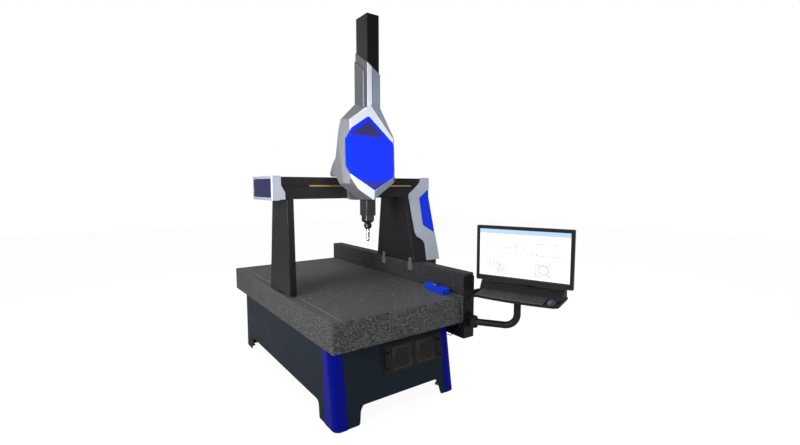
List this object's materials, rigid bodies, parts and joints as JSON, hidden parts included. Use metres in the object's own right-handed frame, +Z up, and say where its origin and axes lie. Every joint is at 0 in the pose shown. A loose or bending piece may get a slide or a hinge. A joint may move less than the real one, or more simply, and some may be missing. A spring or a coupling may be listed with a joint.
{
  "type": "coordinate measuring machine",
  "caption": "Moving-bridge coordinate measuring machine with a granite table, faceted carriage cover, ram and touch probe, stand, controller and operator console.",
  "frame": {"origin": "centre of the granite table's top face, which is also the centre of its grid of threaded inserts", "axes": "+X across the table towards the guide beam, +Y along the table away from the operator, +Z up"},
  "size_m": [1.601, 2.6722, 2.757],
  "materials": {
    "granite": "fine ground, dark grey with light speckle",
    "black_beam": "satin black",
    "black_housing": "matte black powder coat",
    "silver_paint": "satin silver",
    "grey_metallic": "satin metallic grey",
    "blue_window": "clear gloss, deep blue",
    "stand_paint": "fine texture, dark blue grey",
    "trim_blue": "satin ultramarine",
    "steel": "brushed",
    "machined_aluminium": "milled",
    "scale_tape": "gold-plated tape",
    "belt_rubber": "matte",
    "dark_ceramic": "fine ground, charcoal",
    "dark_metal": "hard anodised",
    "probe_steel": "polished",
    "black_plastic": "fine texture",
    "screen_glass": "semi-gloss, lit",
    "handset_blue": "satin",
    "stop_red": "gloss",
    "speed_grey": "gloss",
    "cable_black": "satin jacket"
  },
  "bodies": {
    "base": {"granite_table": "granite", "table_inserts": "steel", "guide_beam": "granite", "y_scale": "scale_tape", "y_drive_belt": "belt_rubber", "travel_buffers": "belt_rubber", "cable_trunking": "black_housing", "end_bracket": "black_housing", "arm_bracket": "black_housing", "stand_frame": "black_housing", "side_panels": "stand_paint", "front_panel": "stand_paint", "rear_panel": "stand_paint", "front_trims": "trim_blue", "levelling_feet": "steel", "support_pads": "belt_rubber", "controller_case": "steel", "controller_bezel": "black_housing", "handset_case": "handset_blue", "handset_cable": "cable_black"},
    "left_door": {"left_controller_door": "black_plastic"},
    "right_door": {"right_controller_door": "black_plastic"},
    "bridge": {"left_leg": "black_beam", "right_leg": "black_beam", "right_leg_cover": "silver_paint", "right_leg_window": "blue_window", "right_leg_skirt": "black_housing", "bridge_bearings": "machined_aluminium", "bridge_beam": "black_beam", "beam_end_cap": "silver_paint", "end_cap_window": "blue_window", "x_scale": "scale_tape", "x_drive_belt": "belt_rubber", "y_drive_unit": "black_housing"},
    "carriage": {"carriage_frame": "machined_aluminium", "carriage_bearings": "machined_aluminium", "front_cover": "silver_paint", "front_window": "blue_window", "rear_cover": "grey_metallic", "neck_cover": "grey_metallic", "ram_column": "black_beam", "carriage_drives": "black_housing"},
    "ram_body": {"ram": "dark_ceramic", "z_drive_belt": "belt_rubber", "probe_head": "dark_metal"},
    "swivel": {"head_swivel": "dark_metal"},
    "knuckle": {"head_knuckle": "dark_metal", "probe": "probe_steel", "stylus": "probe_steel"},
    "arm": {"arm_tube": "black_housing"},
    "tray": {"operator_tray": "black_housing", "monitor_mount": "black_housing", "keyboard": "black_plastic", "mouse": "black_plastic"},
    "display": {"monitor_housing": "black_plastic", "monitor_screen": "screen_glass"},
    "gimbal": {"stick_gimbal": "black_plastic"},
    "stick": {"joystick": "black_plastic"},
    "speed": {"speed_button": "speed_grey"},
    "stop": {"stop_button": "stop_red"}
  },
  "joints": [
    {"name": "bridge_y", "type": "slide", "parent": "base", "child": "bridge", "axis": [0, 1, 0], "range_m": [-0.5, 0.83]},
    {"name": "carriage_x", "type": "slide", "parent": "bridge", "child": "carriage", "axis": [1, 0, 0], "range_m": [-0.36, 0.245]},
    {"name": "ram_z", "type": "slide", "parent": "carriage", "child": "ram_body", "axis": [0, 0, 1], "range_m": [-0.325, 0.17]},
    {"name": "head_rotate", "type": "hinge", "parent": "ram_body", "child": "swivel", "pos_m": [0.106, -0.388, 0.509], "axis": [0, 0, 1], "range_deg": [-180, 180]},
    {"name": "head_tilt", "type": "hinge", "parent": "swivel", "child": "knuckle", "pos_m": [0.106, -0.388, 0.487], "axis": [1, 0, 0], "range_deg": [-105, 0]},
    {"name": "arm_swivel", "type": "hinge", "parent": "base", "child": "arm", "pos_m": [0.576, -1.065, -0.185], "axis": [0, 0, 1], "range_deg": [-40, 0]},
    {"name": "tray_swivel", "type": "hinge", "parent": "arm", "child": "tray", "pos_m": [0.746, -1.318, 0], "axis": [0, 0, 1], "range_deg": [-24, 1]},
    {"name": "monitor_tilt", "type": "hinge", "parent": "tray", "child": "display", "pos_m": [0.83123, -1.31206, 0.3], "axis": [-0.3469, 0.9379, 0], "range_deg": [-5, 20]},
    {"name": "left_door_hinge", "type": "hinge", "parent": "base", "child": "left_door", "pos_m": [-0.0283, -0.91216, -0.37007], "axis": [0, -0.1483, -0.9889], "range_deg": [0, 100]},
    {"name": "right_door_hinge", "type": "hinge", "parent": "base", "child": "right_door", "pos_m": [0.3323, -0.91216, -0.37007], "axis": [0, 0.1483, 0.9889], "range_deg": [0, 100]},
    {"name": "stick_y", "type": "hinge", "parent": "base", "child": "gimbal", "pos_m": [0.4606, -0.80687, 0.036], "axis": [0.1357, 0.9907, 0], "range_deg": [-15, 15], "stiffness_Nm_per_rad": 0.06},
    {"name": "stick_x", "type": "hinge", "parent": "gimbal", "child": "stick", "pos_m": [0.4606, -0.80687, 0.036], "axis": [0.9907, -0.1357, 0], "range_deg": [-15, 15], "stiffness_Nm_per_rad": 0.06},
    {"name": "speed_press", "type": "slide", "parent": "base", "child": "speed", "axis": [0, 0, -1], "range_m": [0, 0.0025], "stiffness_N_per_m": 400},
    {"name": "stop_press", "type": "slide", "parent": "base", "child": "stop", "axis": [0, 0, -1], "range_m": [0, 0.0035], "stiffness_N_per_m": 500}
  ]
}
